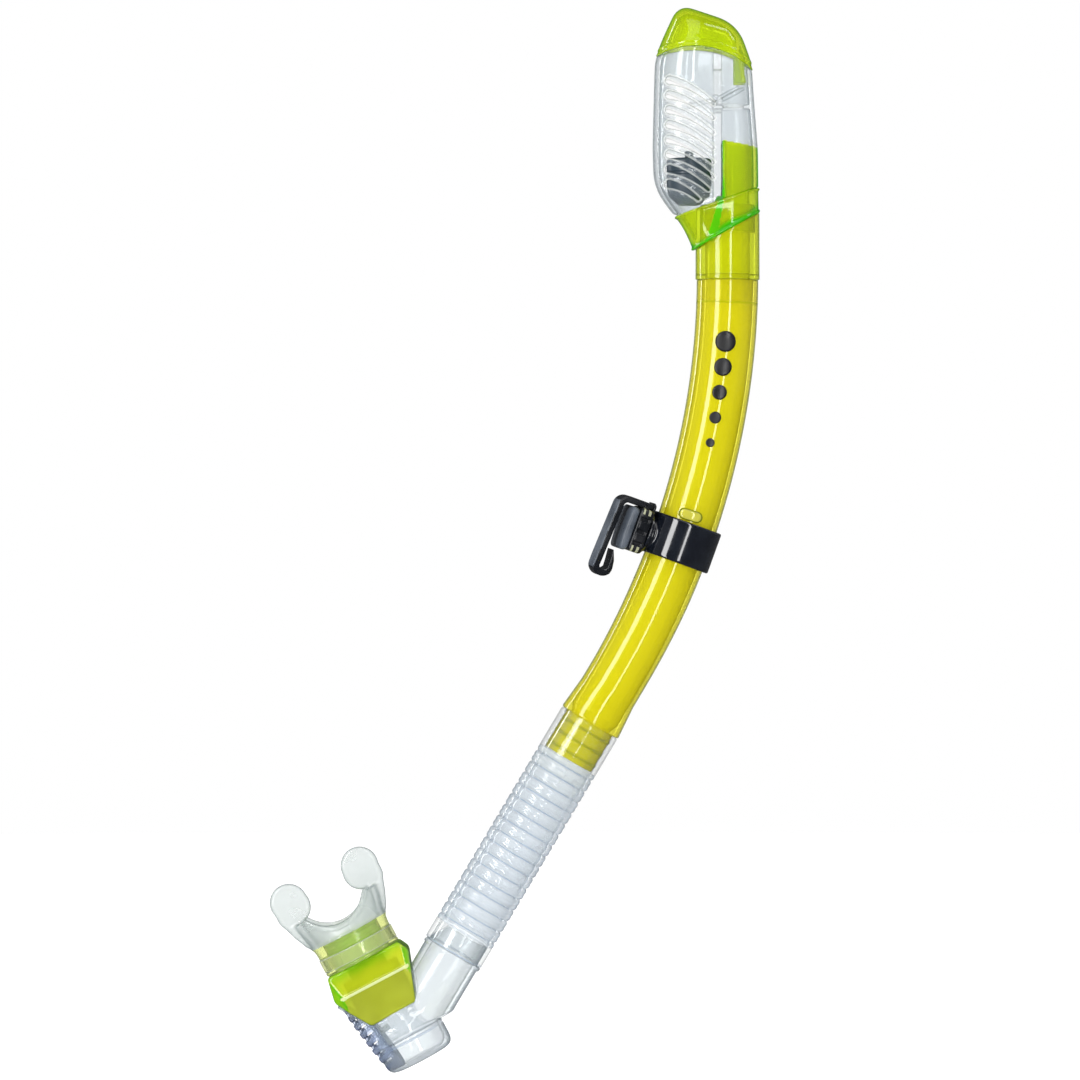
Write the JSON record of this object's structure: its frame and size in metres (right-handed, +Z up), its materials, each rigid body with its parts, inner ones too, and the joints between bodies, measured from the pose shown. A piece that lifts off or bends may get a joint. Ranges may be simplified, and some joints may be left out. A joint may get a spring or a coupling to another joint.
{
  "type": "snorkel tube",
  "caption": "Dry-top snorkel: louvred float valve head, bent rigid tube with a swivelling strap clip, corrugated hose, and purge chamber with a bite mouthpiece.",
  "frame": {"origin": "centre of the breathing port's mouth, where the spigot ends inside the mouthpiece", "axes": "+Z up along the top of the barrel towards the dry top, +X from the mouthpiece towards the barrel, +Y across the tube, away from the side that the clip is turned to; the tube lies in the XZ plane"},
  "size_m": [0.1954, 0.0322, 0.4235],
  "materials": {
    "yellow_clear": "gloss, translucent",
    "lime_clear": "gloss, translucent",
    "clear": "gloss, transparent",
    "silicone": "satin, milky",
    "float_grey": "satin",
    "steel_pin": "polished",
    "black": "gloss",
    "dark_grey": "satin",
    "soft_clear": "gloss, soft"
  },
  "bodies": {
    "barrel": {"barrel": "yellow_clear", "neck": "yellow_clear", "head_collar": "lime_clear", "float_housing": "clear", "top_cap": "lime_clear", "lever_pin": "steel_pin"},
    "float": {"float": "float_grey"},
    "valve": {"valve_lever": "clear", "valve_seal": "silicone"},
    "keeper": {"keeper_ring": "black", "swivel_plate": "black", "swivel_pin": "dark_grey"},
    "clip": {"clip_body": "black", "strap_pad": "dark_grey"},
    "hook": {"strap_hook": "black"},
    "hose": {"flex_hose": "soft_clear"},
    "chamber": {"chamber_body": "clear", "mouthpiece_adapter": "lime_clear", "mouthpiece": "silicone", "mouthpiece_band": "clear", "purge_seat": "clear", "purge_guard": "clear", "sump_cap": "clear"},
    "purge_flap": {"purge_diaphragm": "silicone"}
  },
  "joints": [
    {"name": "float_rise", "type": "slide", "parent": "barrel", "child": "float", "axis": [0, 0, 1], "range_m": [0, 0.022]},
    {"name": "valve_tilt", "type": "hinge", "parent": "barrel", "child": "valve", "pos_m": [0.14643, 0, 0.33277], "axis": [0, 1, 0], "range_deg": [0, 28]},
    {"name": "keeper_turn", "type": "hinge", "parent": "barrel", "child": "keeper", "pos_m": [0.13269, 0, 0.15574], "axis": [0.3397, 0, 0.9405], "continuous": true},
    {"name": "clip_swivel", "type": "hinge", "parent": "keeper", "child": "clip", "pos_m": [0.13225, 0, 0.15452], "axis": [-0.9085, -0.2588, 0.3281], "range_deg": [-90, 90]},
    {"name": "hook_flex", "type": "hinge", "parent": "clip", "child": "hook", "pos_m": [0.11957, -0.00461, 0.17004], "axis": [-0.2434, 0.9659, 0.0879], "range_deg": [0, 8]},
    {"name": "hose_flex", "type": "hinge", "parent": "barrel", "child": "hose", "pos_m": [0.06681, 0, 0.03406], "axis": [0, 1, 0], "range_deg": [-20, 40], "deforming": ["flex_hose"]},
    {"name": "chamber_turn", "type": "hinge", "parent": "hose", "child": "chamber", "pos_m": [0.04159, 0, -0.00824], "axis": [0.512, 0, 0.859], "range_deg": [-60, 60]},
    {"name": "purge_lift", "type": "slide", "parent": "chamber", "child": "purge_flap", "axis": [-0.7934, 0, -0.6088], "range_m": [0, 0.0012]}
  ],
  "couplings": [
    {"joint": "valve_tilt", "follows": "float_rise", "rad_per_m": 22.213}
  ]
}
